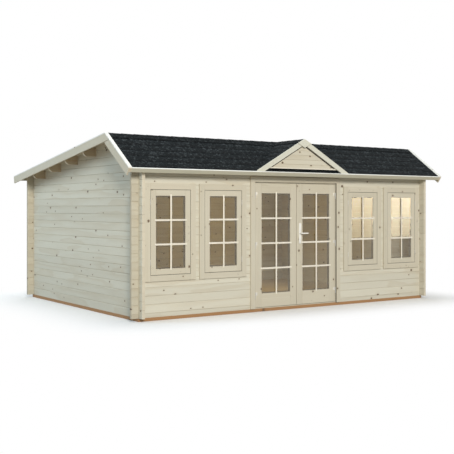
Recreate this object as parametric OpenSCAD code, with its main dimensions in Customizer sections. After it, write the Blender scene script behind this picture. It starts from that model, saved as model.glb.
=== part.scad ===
// Log-built garden shed with a double door, four windows and an off-centre ridged roof.
// Millimetres. +Z is up, -Y is the front, and the origin is at the middle of the footprint on the ground.

/* [Walls] */
// Depth between the outer faces of the front and back walls
wall_d = 3760; // [3200:10:4400]
// Thickness of a wall log
wall_t = 44; // [34:1:58]
// Height that one log adds to the wall
log_h = 114; // [100:1:130]
// Depth of the bevel along each log edge
log_bevel = 5; // [2:0.5:8]
// Length of the log ends past the corner
log_end = 103; // [60:1:150]
// Play between two logs that cross at a corner
notch_fit = 0.4; // [0.2:0.1:1]

/* [Base and floor] */
// Height of the sole beams
beam_h = 45; // [35:1:70]
// Width of the sole beams
beam_w = 70; // [60:1:100]
// Number of bearers between the side beams
bearers = 8; // [4:1:12]
// Thickness of the floor boards
floor_t = 19; // [16:1:28]
// Gap between the floor and the walls
floor_gap = 4; // [2:1:10]

/* [Roof] */
// Height of the covering at the front eave over the door leaves
eave_rise = 148; // [130:1:300]
// Rise of the ridge over the front eave
roof_rise = 495; // [420:1:600]
// Height of the back eave over the front eave
back_eave_rise = 12; // [0:1:100]
// Distance of the ridge behind the front wall
ridge_in = 492; // [400:1:900]
// Overhang of the eaves past the front and back walls
eave_out = 210; // [160:5:300]
// Overhang of the verges past the side walls
verge_out = 253; // [220:1:320]
// Thickness of the roof boards
board_t = 19; // [16:1:25]
// Thickness of the felt covering
felt_t = 5; // [3:0.5:8]
// Width of the verge boards
verge_h = 106; // [90:1:150]
// Thickness of the verge boards
verge_t = 20; // [16:1:28]
// Width of the strip that caps a verge
strip_w = 51; // [40:1:70]
// Thickness of the strip that caps a verge
strip_t = 16; // [12:1:22]
// Width of the battens behind the verge boards
batten_w = 31; // [25:1:40]
// Width of the fascia boards, square to the slope
fascia_h = 60; // [50:1:100]
// Thickness of the fascia boards
fascia_t = 25; // [18:1:30]
// Hairline left where two boards meet end to end
butt_gap = 0.6; // [0.3:0.1:2]
// Hairline between pieces that bear on a slope
seat = 0.3; // [0.2:0.1:0.6]

/* [Purlins] */
// Number of purlins on the back slope
purlins_back = 4; // [3:1:5]
// Distance from the back wall's outer face to the last purlin
purlin_last = 542; // [400:1:650]
// Spacing of the purlins on the back slope
purlin_step = 635; // [500:1:700]
// Width of a purlin
purlin_w = 45; // [40:1:60]
// Depth of a purlin below the roof boards
purlin_h = 122; // [100:1:150]
// Gap between a purlin end and the verge batten
purlin_gap = 3; // [2:1:40]
// Radius of the rounding under a purlin end
purlin_round = 70; // [40:1:90]
// Play of a purlin in its notch
purlin_fit = 0.4; // [0.2:0.1:1]

/* [Dormer] */
// Half width of the dormer at the height of the front eave
dormer_half = 883; // [750:1:950]
// Distance of the dormer boards' front face ahead of the front wall
dormer_out = 190; // [170:1:200]
// Width of the dormer boards below the covering
dormer_board_h = 62; // [50:1:90]
// Rise of the dormer boards above the covering
dormer_board_up = 10; // [4:1:16]
// Thickness of the dormer boards
dormer_board_t = 18; // [14:1:22]
// Distance of the infill panel behind the dormer boards
infill_back = 6; // [2:1:20]
// Thickness of the infill panel
infill_t = 16; // [12:1:20]
// Height of one board of the infill panel
infill_board = 68; // [50:1:90]
// Depth of the bevels on the infill boards
infill_bevel = 3; // [1:0.5:5]
// Height of the infill panel's lower edge over the front eave
infill_up = 62; // [55:1:90]
// Half width of the diamond plate at the peak
plate_half_w = 133; // [100:1:150]
// Half height of the diamond plate
plate_half_h = 66; // [50:1:80]
// Thickness of the diamond plate
plate_t = 12; // [8:1:14]

/* [Door] */
// Width of one door leaf
leaf_w = 754; // [650:1:800]
// Height of a door leaf
leaf_h = 1799; // [1700:1:1850]
// Thickness of a door leaf
leaf_t = 44; // [36:1:50]
// Width of the stiles
leaf_stile = 114; // [90:1:130]
// Height of the top rail
leaf_top = 148; // [100:1:170]
// Height of the bottom rail
leaf_foot = 200; // [160:1:300]
// Gap around each leaf
leaf_gap = 5; // [5:0.5:7]
// Gap between the two leaves
meet_gap = 8; // [8:0.5:10]
// Thickness of the door frame
jamb_t = 45; // [35:1:55]
// Height of the threshold
sill_h = 11; // [8:1:20]
// Width of the stop behind the leaves
stop_w = 14; // [10:1:20]
// Thickness of the stop behind the leaves
stop_t = 12; // [10:1:16]
// Gap between the leaves and the stop
stop_gap = 6; // [5:0.5:8]
// Play of the frames in the wall openings
frame_fit = 0.5; // [0.3:0.1:2]
// Width of the boards around the door
casing_w = 76; // [60:1:110]
// Thickness of the boards around the openings
casing_t = 22; // [16:1:28]
// Frame edge left bare beside the door boards
casing_reveal = 11; // [11:1:16]

/* [Hinges and handle] */
// Hinges on each leaf
hinges = 3; // [2:1:4]
// Length of a hinge barrel
hinge_len = 90; // [60:1:120]
// Radius of a hinge barrel
hinge_r = 7; // [5:0.5:9]
// Thickness of the hinge wings
wing_t = 2.5; // [2:0.5:4]
// Width of the wing on the leaf
wing_w = 36; // [25:1:60]
// Distance of the end hinges from the ends of the leaf
hinge_inset = 175; // [120:5:300]
// Gap between the two halves of a barrel
knuckle_gap = 0.5; // [0.3:0.1:1]
// Height of the lever over the ground
lever_z = 1120; // [900:5:1200]
// Distance of the lever's spindle from the meeting edge
lever_in = 62; // [50:1:75]
// Height of the handle plates
handle_plate_h = 310; // [180:5:340]
// Width of the handle plates
handle_plate_w = 42; // [34:1:60]
// Thickness of the handle plates
handle_plate_t = 8; // [5:0.5:10]
// Radius of the lever's neck
neck_r = 9; // [7:0.5:11]
// Reach of the neck past the plate
neck_len = 40; // [30:1:50]
// Length of the lever
lever_len = 120; // [90:1:140]
// Thickness of the lever
lever_t = 17; // [13:1:20]
// Width of the square spindle
spindle_w = 8; // [7:0.5:10]
// Play around the neck
neck_fit = 0.4; // [0.3:0.1:1]

/* [Windows] */
// Bare wall between the door boards and the window boards
window_door_gap = 78; // [40:1:200]
// Bare wall between the boards of two windows
window_pair_gap = 62; // [40:1:200]
// Bare wall between the window boards and the corner
window_corner_gap = 44; // [30:1:200]
// Width of a sash
sash_w = 627; // [500:1:700]
// Height of a sash
sash_h = 1145; // [900:1:1150]
// Height of the sash's lower edge over the ground
sash_z = 602; // [560:1:650]
// Width of the sash bars at the edge of the glass
sash_bar = 85; // [60:1:95]
// Thickness of a sash
sash_t = 42; // [36:1:48]
// Distance of the sash face ahead of the wall face
sash_out = 20; // [4:1:26]
// Thickness of the window frames
window_frame_t = 40; // [30:1:45]
// Width of the boards around a window
window_casing = 82; // [60:1:84]
// Play of a sash in its frame
sash_fit = 0.5; // [0.3:0.1:1]
// Thickness of the glass
glass_t = 4; // [3:1:6]
// Depth of the groove that holds the glass
glass_groove = 10; // [6:1:14]
// Play of the glass in its groove
glass_fit = 0.3; // [0.2:0.1:1]
// Distance of the middle of the glass behind the face of its frame
glass_back = 10; // [8:1:20]

/* [Hidden] */
$fn = 48;

front_y = -wall_d / 2;
back_y = wall_d / 2;
left = -1;
right = 1;
far = 10000;
spruce = "BurlyWood";
pale_spruce = "Wheat";
felt_grey = "DarkSlateGray";

// Door and window places, measured from the middle of the front
jamb_x = leaf_w + meet_gap / 2 + leaf_gap;
doorway_x = jamb_x + jamb_t + frame_fit;
door_board_x = jamb_x + casing_reveal + casing_w;
window_w = sash_w + 2 * window_casing;
window_near = door_board_x + window_door_gap + window_w / 2;
window_far = window_near + window_w + window_pair_gap;
window_places = [window_near, window_far];
half_w = window_far + window_w / 2 + window_corner_gap + wall_t;
wall_w = 2 * half_w;
leaf_z = beam_h + sill_h + leaf_gap;
head_z = leaf_z + leaf_h + leaf_gap;
doorway_top = head_z + jamb_t + frame_fit;
hinge_x = leaf_w + (meet_gap + leaf_gap) / 2;
hinge_y = front_y - hinge_r;
stop_y = front_y + leaf_t + stop_gap;
frame_inner = sash_fit;
frame_outer = sash_fit + window_frame_t;
lever_x = meet_gap / 2 + lever_in;

// Roof lines, in the plane of the gable
eave_top = leaf_z + leaf_h + eave_rise;
ridge_top = eave_top + roof_rise;
back_eave_top = eave_top + back_eave_rise;
ridge_y = front_y + ridge_in;
front_pitch = atan((ridge_top - eave_top) / (ridge_in + eave_out));
back_pitch = atan((ridge_top - back_eave_top) / (wall_d - ridge_in + eave_out));
front_eave_y = front_y - eave_out;
back_eave_y = back_y + eave_out;
cover_t = board_t + felt_t;
bearing = cover_t + seat;
verge_x = half_w + verge_out;
roof_x = verge_x - verge_t;
fascia_x = roof_x - batten_w;
purlin_x = fascia_x - purlin_gap;

// A point on the front slope: up is along the slope from the eave, out is square to it from the covering
function on_front(up, out) = [
  front_eave_y + up * cos(front_pitch) - out * sin(front_pitch),
  eave_top + up * sin(front_pitch) + out * cos(front_pitch)
];
function on_back(up, out) = [
  back_eave_y - up * cos(back_pitch) + out * sin(back_pitch),
  back_eave_top + up * sin(back_pitch) + out * cos(back_pitch)
];
// The point where two lines parallel to the slopes cross near the ridge
function crossing_y(front_out, back_out) =
  (back_out / cos(back_pitch) - front_out / cos(front_pitch)) / (tan(front_pitch) + tan(back_pitch));
function crossing(front_out, back_out) = [
  ridge_y + crossing_y(front_out, back_out),
  ridge_top + crossing_y(front_out, back_out) * tan(front_pitch) + front_out / cos(front_pitch)
];
// Height of the back slope's underside at a distance behind the front wall
function back_under(y) = ridge_top - (y - ridge_y) * tan(back_pitch) - bearing / cos(back_pitch);

// Extrude an outline of (y, z) points along X
module along_x(from, to) {
  translate([from, 0, 0]) rotate([90, 0, 90]) linear_extrude(to - from) children();
}

// Extrude an outline of (x, z) points along Y
module along_y(from, to) {
  translate([0, to, 0]) rotate([90, 0, 0]) linear_extrude(to - from) children();
}

// A box from its lowest and highest corners
module box(low, high) {
  translate(low) cube(high - low);
}

module mirrored(side) {
  if (side == left) {
    mirror([1, 0, 0]) children();
  } else {
    children();
  }
}

// Section of a stack of logs: bevels on both faces meet in a V at each joint
module log_stack(face, first_joint, top) {
  joints = [for (z = first_joint; z < top - log_bevel; z = z + log_h) z];
  count = len(joints);
  outer = [for (z = joints) each [[face, z - log_bevel], [face + log_bevel, z], [face, z + log_bevel]]];
  back = face + wall_t;
  inner = [for (i = [count - 1 : -1 : 0])
    each [[back, joints[i] + log_bevel], [back - log_bevel, joints[i]], [back, joints[i] - log_bevel]]];
  polygon(concat([[face, beam_h]], outer, [[face, top], [back, top]], inner, [[back, beam_h]]));
}

// Everything below the roof boards
module under_roof() {
  eave_front = on_front(0, -bearing);
  eave_back = on_back(0, -bearing);
  along_x(-far, far)
    polygon([[eave_front[0], 0], eave_front, crossing(-bearing, -bearing), eave_back, [eave_back[0], 0]]);
}

// Necks of one wall's logs inside a corner, spaced a log apart
module necks(first_centre, x0, x1, y0, y1) {
  for (z = [first_centre : log_h : ridge_top]) {
    box([x0, y0, z - log_h / 4 - notch_fit], [x1, y1, z + log_h / 4 + notch_fit]);
  }
}

// Room for the side walls' logs in the front and back walls
module side_log_room(side) {
  mirrored(side)
    necks(beam_h + log_h / 2, half_w - wall_t - notch_fit, half_w + notch_fit, -far, far);
}

// Room for the front and back walls' logs in the side walls
module cross_log_room(y0) {
  necks(beam_h, -far, far, y0 - notch_fit, y0 + wall_t + notch_fit);
}

module long_wall_stack(y0, x0, x1) {
  intersection() {
    along_x(x0, x1) log_stack(y0, beam_h + log_h / 2, ridge_top);
    under_roof();
  }
}

module window_hole(x) {
  box(
    [x - sash_w / 2 - frame_outer - frame_fit, -far, sash_z - frame_outer - frame_fit],
    [x + sash_w / 2 + frame_outer + frame_fit, 0, sash_z + sash_h + frame_outer + frame_fit]
  );
}

module front_wall_side(side) {
  color(spruce) mirrored(side) difference() {
    long_wall_stack(front_y, doorway_x, half_w + log_end);
    side_log_room(right);
    for (x = window_places) {
      window_hole(x);
    }
  }
}

module front_wall_left() {
  front_wall_side(left);
}

module front_wall_right() {
  front_wall_side(right);
}

module front_wall_over_door() {
  color(spruce) intersection() {
    long_wall_stack(front_y, -doorway_x, doorway_x);
    box([-far, -far, doorway_top], [far, far, far]);
  }
}

module back_wall() {
  color(spruce) difference() {
    long_wall_stack(back_y - wall_t, -half_w - log_end, half_w + log_end);
    side_log_room(left);
    side_log_room(right);
  }
}

module gable_wall(side) {
  color(spruce) mirrored(side) difference() {
    intersection() {
      along_y(front_y - log_end, back_y + log_end) log_stack(half_w - wall_t, beam_h + log_h, ridge_top);
      under_roof();
    }
    cross_log_room(front_y);
    cross_log_room(back_y - wall_t);
    for (y = purlin_places) {
      purlin_slot(y, back_under(y + purlin_w / 2));
    }
    purlin_slot(ridge_under[0], ridge_under[1]);
  }
}

module left_wall() {
  gable_wall(left);
}

module right_wall() {
  gable_wall(right);
}

module long_beams() {
  color("SaddleBrown") {
    box([-half_w, front_y, 0], [half_w, front_y + beam_w, beam_h]);
    box([-half_w, back_y - beam_w, 0], [half_w, back_y, beam_h]);
  }
}

module cross_beams() {
  spacing = (wall_w - beam_w) / (bearers + 1);
  color("SaddleBrown") for (i = [0 : bearers + 1]) {
    x = -half_w + i * spacing;
    box([x, front_y + beam_w, 0], [x + beam_w, back_y - beam_w, beam_h]);
  }
}

module floor_boards() {
  reach = wall_t + floor_gap;
  color(spruce)
    box([-half_w + reach, front_y + reach, beam_h], [half_w - reach, back_y - reach, beam_h + floor_t]);
}

purlin_places = [for (i = [0 : purlins_back - 1]) back_y - purlin_last - i * purlin_step];
ridge_under = crossing(-bearing, -bearing);

// Slot for a purlin in a gable wall, open at the top
module purlin_slot(y, top) {
  side = purlin_w / 2 + purlin_fit;
  box([0, y - side, top - purlin_h - purlin_fit], [far, y + side, ridge_top]);
}

// Section of a back-slope purlin: upright sides and a top bevelled to the slope
module purlin_section(y) {
  y0 = y - purlin_w / 2;
  y1 = y + purlin_w / 2;
  foot = back_under(y1) - purlin_h;
  polygon([[y0, foot], [y1, foot], [y1, back_under(y1)], [y0, back_under(y0)]]);
}

// Section of the ridge purlin, with its top bevelled both ways
module ridge_section() {
  y0 = ridge_under[0] - purlin_w / 2;
  y1 = ridge_under[0] + purlin_w / 2;
  side_drop = purlin_w / 2 * tan(front_pitch);
  foot = ridge_under[1] - purlin_h;
  polygon([[y0, foot], [y1, foot], [y1, back_under(y1)], ridge_under, [y0, ridge_under[1] - side_drop]]);
}

// Rounding under both ends of a purlin
module rounded_ends(foot) {
  turn = purlin_x - purlin_round;
  difference() {
    children();
    for (side = [left, right]) {
      mirrored(side) difference() {
        box([turn, -far, foot - purlin_round], [purlin_x + purlin_round, far, foot + purlin_round]);
        translate([turn, -far, foot + purlin_round])
          rotate([-90, 0, 0]) cylinder(r = purlin_round, h = 2 * far);
      }
    }
  }
}

module purlins() {
  color(spruce) {
    for (y = purlin_places) {
      rounded_ends(back_under(y + purlin_w / 2) - purlin_h)
        along_x(-purlin_x, purlin_x) purlin_section(y);
    }
    rounded_ends(ridge_under[1] - purlin_h)
      along_x(-purlin_x, purlin_x) ridge_section();
  }
}

// A layer of the roof between two depths below the covering, behind the fascia
module front_layer(low, high) {
  foot = fascia_t + seat;
  along_x(-roof_x, roof_x)
    polygon([on_front(foot, low), crossing(low, low), crossing(high, high), on_front(foot, high)]);
}

module back_layer(low, high) {
  foot = fascia_t + seat;
  along_x(-roof_x, roof_x)
    polygon([on_back(foot, low), crossing(low, low), crossing(high, high), on_back(foot, high)]);
}

module roof_boards_front() {
  color(pale_spruce) front_layer(-cover_t, -felt_t);
}

module roof_boards_back() {
  color(pale_spruce) back_layer(-cover_t, -felt_t);
}

module felt_front() {
  color(felt_grey) front_layer(-felt_t, 0);
}

module felt_back() {
  color(felt_grey) back_layer(-felt_t, 0);
}

// The back board runs over the peak and the front board butts under it
module verge_boards(side) {
  color(pale_spruce) mirrored(side) along_x(roof_x, verge_x) {
    polygon([on_back(0, -verge_h), crossing(0, -verge_h), crossing(0, 0), on_back(0, 0)]);
    polygon([
      on_front(0, -verge_h), crossing(-verge_h, -verge_h - butt_gap),
      crossing(0, -verge_h - butt_gap), on_front(0, 0)
    ]);
  }
}

module left_verge_boards() {
  verge_boards(left);
}

module right_verge_boards() {
  verge_boards(right);
}

module verge_strips(side) {
  front_rise = strip_t / cos(front_pitch);
  back_rise = strip_t / cos(back_pitch);
  color(pale_spruce) mirrored(side) along_x(verge_x - strip_w, verge_x) {
    polygon([
      on_back(seat, seat), crossing(seat, seat), crossing(strip_t, strip_t),
      [back_eave_y, back_eave_top + back_rise]
    ]);
    polygon([
      on_front(seat, seat), crossing(seat, seat - butt_gap), crossing(strip_t, strip_t - butt_gap),
      [front_eave_y, eave_top + front_rise]
    ]);
  }
}

module left_verge_strips() {
  verge_strips(left);
}

module right_verge_strips() {
  verge_strips(right);
}

// Battens under the roof boards behind each verge board, with a nose that closes the eave end
module verge_battens() {
  color(pale_spruce) for (side = [left, right]) {
    mirrored(side) along_x(roof_x - batten_w, roof_x) {
      polygon([
        on_back(0, -fascia_h), crossing(-fascia_h, -fascia_h), crossing(-bearing, -bearing),
        on_back(fascia_t, -bearing), on_back(fascia_t, 0), on_back(0, 0)
      ]);
      polygon([
        on_front(0, -fascia_h), crossing(-fascia_h, -fascia_h - butt_gap),
        crossing(-bearing, -bearing - butt_gap), on_front(fascia_t, -bearing),
        on_front(fascia_t, 0), on_front(0, 0)
      ]);
    }
  }
}

module front_fascia() {
  color(pale_spruce) along_x(-fascia_x, fascia_x) polygon([
    on_front(0, -fascia_h), on_front(fascia_t, -fascia_h), on_front(fascia_t, 0), on_front(0, 0)
  ]);
}

module back_fascia() {
  color(pale_spruce) along_x(-fascia_x, fascia_x) polygon([
    on_back(0, -fascia_h), on_back(fascia_t, -fascia_h), on_back(fascia_t, 0), on_back(0, 0)
  ]);
}

// Dormer on the front slope, level with the main ridge
dormer_pitch = atan((ridge_top - eave_top) / dormer_half);
dormer_y = front_y - dormer_out;
dormer_roof_y = dormer_y + dormer_board_t;
dormer_foot_x = dormer_half * 1.2;

function dormer_line(x, out) = ridge_top - abs(x) * tan(dormer_pitch) + out / cos(dormer_pitch);

module above_front_slope() {
  along_x(-far, far)
    polygon([on_front(0, seat), crossing(seat, seat), [ridge_y, far], [front_eave_y, far]]);
}

// Both slopes of the dormer between two depths, cut where they meet the main slope
module dormer_layer(low, high) {
  x = dormer_foot_x;
  intersection() {
    along_y(dormer_roof_y, ridge_y) polygon([
      [-x, dormer_line(x, low)], [0, dormer_line(0, low)], [x, dormer_line(x, low)],
      [x, dormer_line(x, high)], [0, dormer_line(0, high)], [-x, dormer_line(x, high)]
    ]);
    above_front_slope();
  }
}

module dormer_roof() {
  color(pale_spruce) dormer_layer(-cover_t, -felt_t);
}

module dormer_felt() {
  color(felt_grey) dormer_layer(-felt_t, 0);
}

module dormer_infill() {
  low = eave_top + infill_up;
  peak = dormer_line(0, -bearing);
  half = (peak - low) / tan(dormer_pitch);
  face = dormer_roof_y + infill_back;
  back = face + infill_t;
  joints = [for (z = low + infill_board; z < peak - infill_bevel; z = z + infill_board) z];
  grooves = [for (z = joints)
    each [[face, z - infill_bevel], [face + infill_bevel, z], [face, z + infill_bevel]]];
  color(spruce) intersection() {
    along_y(face, back) polygon([[-half, low], [half, low], [0, peak]]);
    along_x(-half, half)
      polygon(concat([[face, low]], grooves, [[face, peak], [back, peak], [back, low]]));
  }
}

module dormer_boards() {
  x = dormer_foot_x;
  gap = butt_gap / 2;
  color(pale_spruce) for (side = [left, right]) {
    intersection() {
      mirrored(side) along_y(dormer_y, dormer_roof_y) polygon([
        [gap, dormer_line(gap, -dormer_board_h)], [x, dormer_line(x, -dormer_board_h)],
        [x, dormer_line(x, dormer_board_up)], [gap, dormer_line(gap, dormer_board_up)]
      ]);
      above_front_slope();
    }
  }
}

module dormer_plate() {
  top = dormer_line(0, dormer_board_up);
  centre = top - plate_half_h;
  color(pale_spruce) along_y(dormer_y - plate_t, dormer_y) polygon([
    [-plate_half_w, centre], [0, centre - plate_half_h], [plate_half_w, centre], [0, top]
  ]);
}

module door_frame() {
  outer = jamb_x + jamb_t;
  depth = wall_t + stop_t + stop_gap;
  color(pale_spruce) difference() {
    union() {
      box([-outer, front_y, beam_h], [outer, front_y + wall_t, head_z + jamb_t]);
      box([-outer, front_y, beam_h + floor_t], [outer, front_y + depth, head_z + jamb_t]);
    }
    box([-jamb_x, -far, beam_h + sill_h], [jamb_x, stop_y, head_z]);
    box([-jamb_x + stop_w, -far, beam_h + sill_h], [jamb_x - stop_w, far, head_z - stop_w]);
  }
}

module door_casing() {
  inner = jamb_x + casing_reveal;
  outer = door_board_x;
  color(pale_spruce) difference() {
    box([-outer, front_y - casing_t, beam_h], [outer, front_y, head_z + casing_reveal + casing_w]);
    box([-inner, -far, 0], [inner, far, head_z + casing_reveal]);
  }
}

hinge_heights = [for (i = [0 : hinges - 1])
  leaf_z + hinge_inset + i * (leaf_h - 2 * hinge_inset) / (hinges - 1)];

// Lower halves of the barrels, on the door frame
module frame_hinges(side) {
  color("Silver") mirrored(side) for (z = hinge_heights) {
    translate([hinge_x, hinge_y, z - hinge_len / 2]) cylinder(r = hinge_r, h = hinge_len / 2);
    box(
      [hinge_x, front_y - wing_t, z - hinge_len / 2],
      [jamb_x + casing_reveal, front_y, z]
    );
  }
}

// Upper halves of the barrels, on the leaf
module leaf_hinges(side) {
  color("Silver") mirrored(side) for (z = hinge_heights) {
    translate([hinge_x, hinge_y, z + knuckle_gap])
      cylinder(r = hinge_r, h = hinge_len / 2 - knuckle_gap);
    box(
      [hinge_x - leaf_gap / 2 - wing_w, front_y - wing_t, z + knuckle_gap],
      [hinge_x, front_y, z + hinge_len / 2]
    );
  }
}

module frame_hinges_left() {
  frame_hinges(left);
}

module frame_hinges_right() {
  frame_hinges(right);
}

module leaf_hinges_left() {
  leaf_hinges(left);
}

module leaf_hinges_right() {
  leaf_hinges(right);
}

// A sheet of glass behind the edges of an opening
module pane(x0, x1, y, z0, z1, play) {
  edge = glass_groove + play;
  thick = glass_t + 2 * play;
  box([x0 - edge, y - thick / 2, z0 - edge], [x1 + edge, y + thick / 2, z1 + edge]);
}

leaf_glass_x = [meet_gap / 2 + leaf_stile, meet_gap / 2 + leaf_w - leaf_stile];
leaf_glass_z = [leaf_z + leaf_foot, leaf_z + leaf_h - leaf_top];
leaf_glass_y = front_y + glass_back;

module leaf_pane(play) {
  pane(leaf_glass_x[0], leaf_glass_x[1], leaf_glass_y, leaf_glass_z[0], leaf_glass_z[1], play);
}

module leaf_body() {
  difference() {
    box(
      [meet_gap / 2, front_y, leaf_z],
      [meet_gap / 2 + leaf_w, front_y + leaf_t, leaf_z + leaf_h]
    );
    box([leaf_glass_x[0], -far, leaf_glass_z[0]], [leaf_glass_x[1], far, leaf_glass_z[1]]);
    leaf_pane(glass_fit);
  }
}

module left_leaf() {
  color(pale_spruce) mirrored(left) leaf_body();
}

module left_leaf_glass() {
  color("LightSteelBlue") mirrored(left) leaf_pane(0);
}

// The right leaf is bored for the lever's spindle
module right_leaf() {
  color(pale_spruce) difference() {
    leaf_body();
    translate([lever_x, -far, lever_z]) rotate([-90, 0, 0]) cylinder(r = neck_r, h = 2 * far);
  }
}

module right_leaf_glass() {
  color("LightSteelBlue") leaf_pane(0);
}

// Long plates on both faces of the right leaf
module handle_plates() {
  round_r = handle_plate_w / 2;
  straight = handle_plate_h / 2 - round_r;
  color("White") for (y = [front_y - handle_plate_t, front_y + leaf_t]) {
    along_y(y, y + handle_plate_t) translate([lever_x, lever_z]) difference() {
      union() {
        square([handle_plate_w, 2 * straight], center = true);
        translate([0, straight]) circle(r = round_r);
        translate([0, -straight]) circle(r = round_r);
      }
      circle(r = neck_r + neck_fit);
    }
  }
}

// One side of the lever: a neck and a grip with a round end
module lever_side(from, to, grip) {
  along_y(from, to) translate([lever_x, lever_z]) circle(r = neck_r);
  along_y(grip, grip + lever_t) translate([lever_x, lever_z]) {
    translate([0, -lever_t / 2]) square([lever_len, lever_t]);
    circle(r = neck_r);
    translate([lever_len, 0]) circle(r = lever_t / 2);
  }
}

module door_lever() {
  outside = front_y - handle_plate_t - neck_len;
  inside = front_y + leaf_t + handle_plate_t + neck_len;
  half = spindle_w / 2;
  color("White") {
    lever_side(outside, front_y - neck_fit, outside);
    lever_side(front_y + leaf_t + neck_fit, inside, inside - lever_t);
    box([lever_x - half, outside, lever_z - half], [lever_x + half, inside, lever_z + half]);
  }
}

// A rectangle around a sash, grown on every side
module sash_block(x, y0, y1, grow) {
  box(
    [x - sash_w / 2 - grow, y0, sash_z - grow],
    [x + sash_w / 2 + grow, y1, sash_z + sash_h + grow]
  );
}

module window_frames(side) {
  color(pale_spruce) mirrored(side) for (x = window_places) {
    difference() {
      union() {
        sash_block(x, front_y, front_y + wall_t, frame_outer);
        sash_block(x, front_y - casing_t, front_y, window_casing);
      }
      sash_block(x, -far, far, frame_inner);
    }
  }
}

sash_y = front_y - sash_out;

module window_pane(x, play) {
  pane(
    x - sash_w / 2 + sash_bar, x + sash_w / 2 - sash_bar, sash_y + glass_back,
    sash_z + sash_bar, sash_z + sash_h - sash_bar, play
  );
}

module window_sashes(side) {
  color(pale_spruce) mirrored(side) for (x = window_places) {
    difference() {
      sash_block(x, sash_y, sash_y + sash_t, 0);
      sash_block(x, -far, far, -sash_bar);
      window_pane(x, glass_fit);
    }
  }
}

module window_glass(side) {
  color("LightSteelBlue") mirrored(side) for (x = window_places) {
    window_pane(x, 0);
  }
}

module left_window_frames() {
  window_frames(left);
}

module right_window_frames() {
  window_frames(right);
}

module left_window_sashes() {
  window_sashes(left);
}

module right_window_sashes() {
  window_sashes(right);
}

module left_window_glass() {
  window_glass(left);
}

module right_window_glass() {
  window_glass(right);
}

long_beams();
cross_beams();
floor_boards();
front_wall_left();
front_wall_right();
front_wall_over_door();
back_wall();
left_wall();
right_wall();
purlins();
roof_boards_front();
roof_boards_back();
felt_front();
felt_back();
left_verge_boards();
right_verge_boards();
left_verge_strips();
right_verge_strips();
verge_battens();
front_fascia();
back_fascia();
dormer_roof();
dormer_felt();
dormer_infill();
dormer_boards();
dormer_plate();
door_frame();
door_casing();
frame_hinges_left();
frame_hinges_right();
left_leaf();
left_leaf_glass();
leaf_hinges_left();
right_leaf();
right_leaf_glass();
leaf_hinges_right();
handle_plates();
door_lever();
left_window_frames();
left_window_sashes();
left_window_glass();
right_window_frames();
right_window_sashes();
right_window_glass();
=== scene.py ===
"""Looks for a log-built garden shed: spruce grain and knots, joinery, glazing bars and shingles."""

import math
import random

import bmesh
import bpy
from bpy.props import FloatProperty, FloatVectorProperty, IntProperty, PointerProperty
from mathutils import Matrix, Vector


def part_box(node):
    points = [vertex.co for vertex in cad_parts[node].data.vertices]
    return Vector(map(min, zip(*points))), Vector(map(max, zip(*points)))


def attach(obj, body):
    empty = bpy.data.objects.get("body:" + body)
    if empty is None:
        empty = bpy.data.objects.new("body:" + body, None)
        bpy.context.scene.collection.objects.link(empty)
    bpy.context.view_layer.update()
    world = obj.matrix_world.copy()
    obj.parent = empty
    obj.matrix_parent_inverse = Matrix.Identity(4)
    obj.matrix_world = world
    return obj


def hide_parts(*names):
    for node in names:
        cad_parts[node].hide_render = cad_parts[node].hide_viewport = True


bl_info = {
    "name": "Log-built garden shed",
    "version": (1, 0, 0),
    "blender": (4, 5, 0),
    "location": "3D View > Sidebar > Shed",
    "description": "Dresses the packed shed with spruce joinery, glazing bars and shingles",
    "category": "Object",
}

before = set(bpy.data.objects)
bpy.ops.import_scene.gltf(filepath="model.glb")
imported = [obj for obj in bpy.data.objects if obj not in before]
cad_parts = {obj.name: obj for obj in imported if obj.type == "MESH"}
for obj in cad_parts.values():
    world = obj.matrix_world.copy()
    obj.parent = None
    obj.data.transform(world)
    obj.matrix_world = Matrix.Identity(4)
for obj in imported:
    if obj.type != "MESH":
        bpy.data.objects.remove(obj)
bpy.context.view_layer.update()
X, Y, Z = Vector((1, 0, 0)), Vector((0, 1, 0)), Vector((0, 0, 1))
SIDES = {"left": -1, "right": 1}

# Lines of the roof in the plane of the gable, as (y, z) of the covering's top
FRONT_EAVE = Vector((-2.090, 2.008))
RIDGE = Vector((-1.388, 2.503))
BACK_EAVE = Vector((2.090, 2.020))
DORMER_HALF = 0.883
DORMER_RISE = RIDGE.y - FRONT_EAVE.y

# Gaps between boards that meet, and between a piece and what it rests against
HAIR = 0.0003
REST = 0.0005

# Tints, as linear RGB or RGBA
FRESH_CUT = (1.0, 0.96, 0.92)
KNOT_HEART = (0.17, 0.1, 0.055, 1.0)
# Darkens the joint lines, and paints shade on the log ends beyond the corners
JOINT_SHADE = (0.58, 0.53, 0.45, 1.0)
WHITE = (1.0, 1.0, 1.0, 1.0)

# Woods of separate boards: their early and late wood, share of knots and tint of sawn ends, which for the
# purlins is a painted highlight
WOODS = {
    "spruce trim": ("trim_pale", "trim_late", 0.3, FRESH_CUT),
    # Pale wood that paints the highlight on the bars and on the infill's sill
    "spruce bars": ("bar_pale", "trim_late", 0.0, FRESH_CUT),
    "spruce planks": ("floor_pale", "log_late", 0.25, FRESH_CUT),
    # Pale wood that paints the highlight on the lit tops of the roof's edges
    "spruce strips": ("strip_pale", "trim_pale", 0.1, FRESH_CUT),
    "spruce dormer boards": ("dormer_pale", "trim_pale", 0.15, FRESH_CUT),
    # Darker wood that paints the shade on the fascias' downward-tilted faces
    "spruce fascias": ("fascia_pale", "trim_late", 0.2, FRESH_CUT),
    # The purlins' brown colours are painted shade, and their end tint, brighter than white, is a painted
    # highlight
    "spruce purlins": ("log_late", "beam_pale", 0.1, (1.5, 1.7, 2.0)),
    "treated spruce": ("beam_pale", "beam_late", 0.15, FRESH_CUT),
}


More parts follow.
